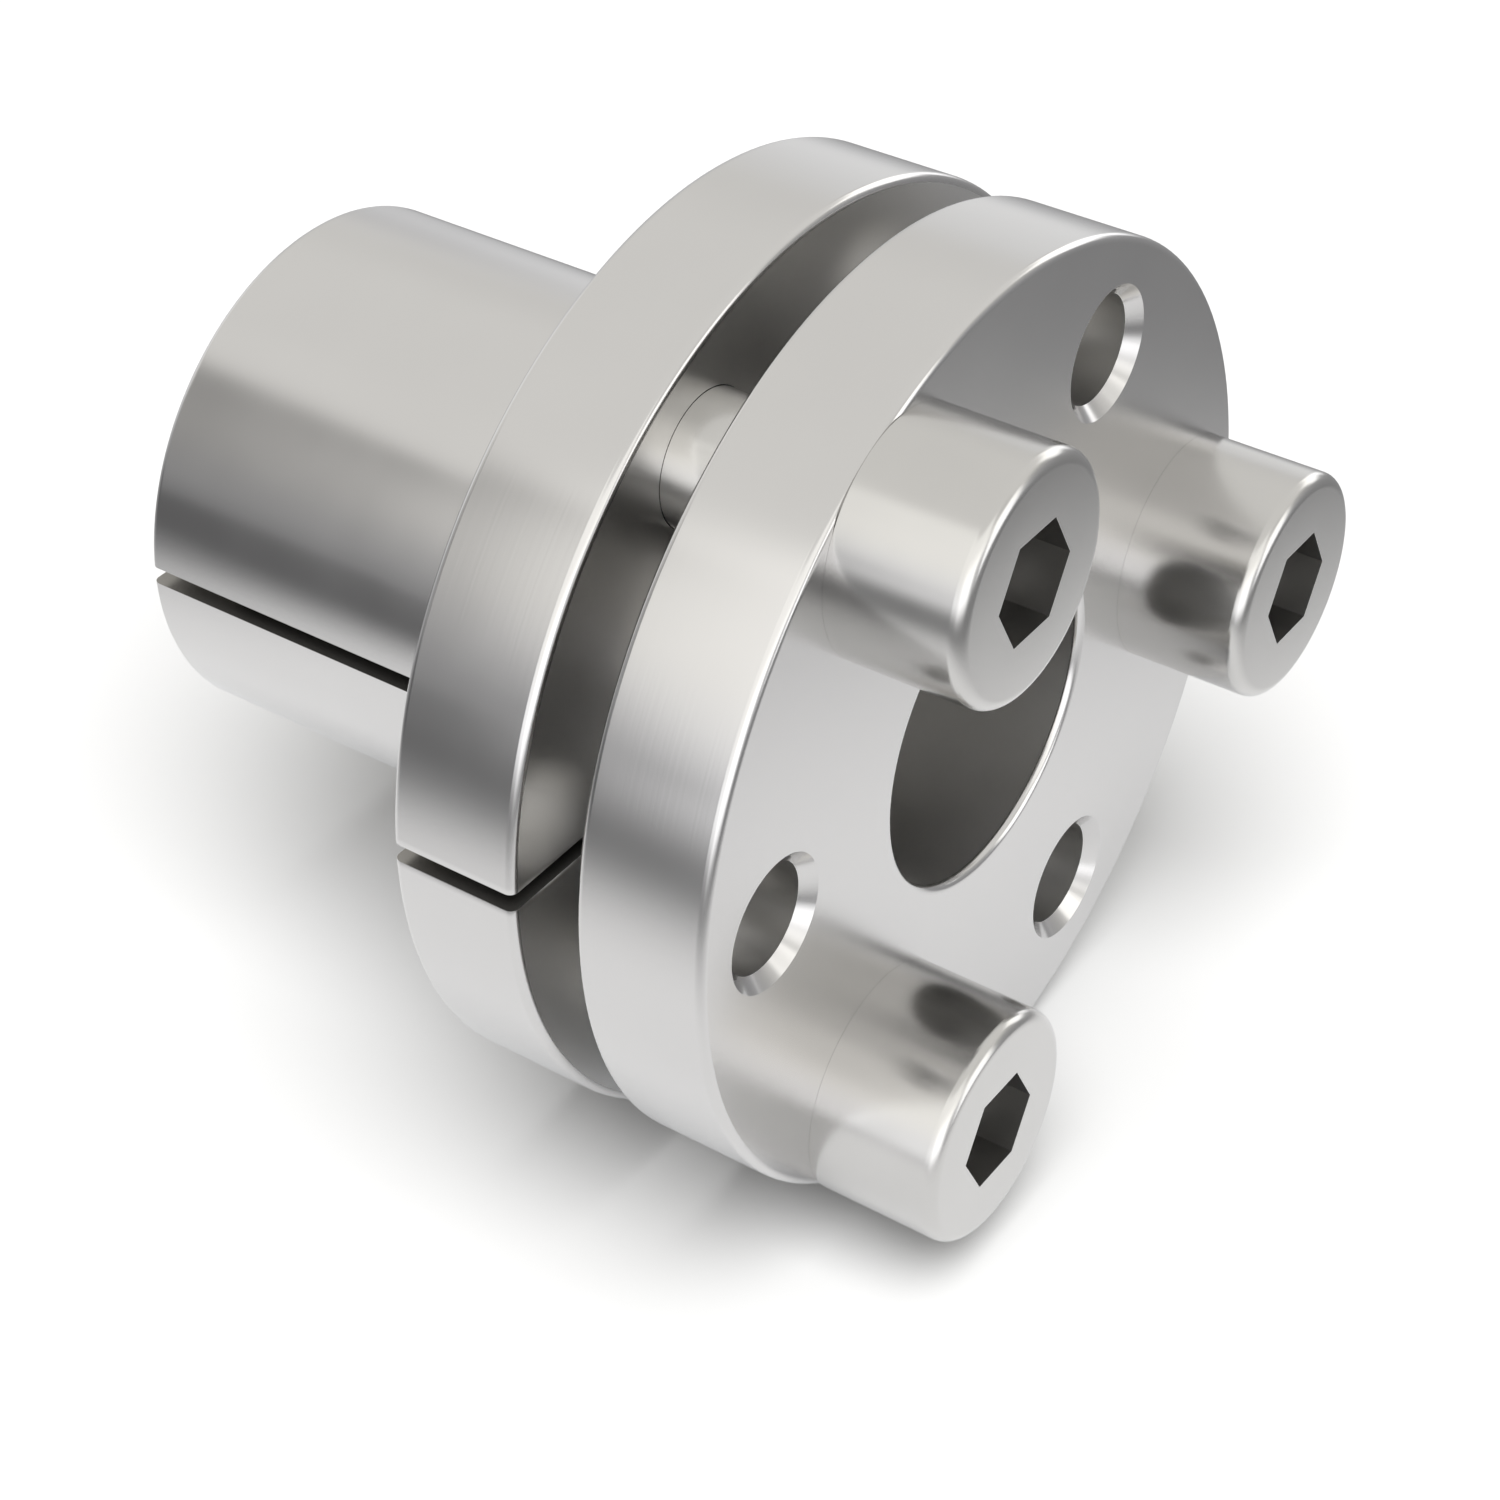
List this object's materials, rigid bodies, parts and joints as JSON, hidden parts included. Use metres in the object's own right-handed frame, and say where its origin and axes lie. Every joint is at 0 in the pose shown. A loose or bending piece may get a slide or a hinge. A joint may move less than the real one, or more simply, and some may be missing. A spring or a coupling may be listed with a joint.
{
  "type": "shaft locking assembly",
  "caption": "Keyless cone clamp for joining a hub to a plain shaft: a flanged, slit outer sleeve and a flanged tapered inner ring drawn together by socket head cap screws.",
  "frame": {"origin": "centre of the outer sleeve's end face, on the axis, on which the part stands", "axes": "+Z along the shaft axis towards the screw heads; the outer ring's slit faces -Y"},
  "size_m": [0.028, 0.0282, 0.028],
  "materials": {
    "outer_ring_steel": "fine turned stainless steel, smooth satin",
    "inner_ring_steel": "fine turned stainless steel, smooth satin",
    "screw_steel": "cold formed stainless steel, smooth, rounded head rim"
  },
  "bodies": {
    "root": {"outer_ring": "outer_ring_steel", "inner_ring": "inner_ring_steel", "cap_screw_1": "screw_steel", "cap_screw_2": "screw_steel", "cap_screw_3": "screw_steel"}
  },
  "joints": []
}
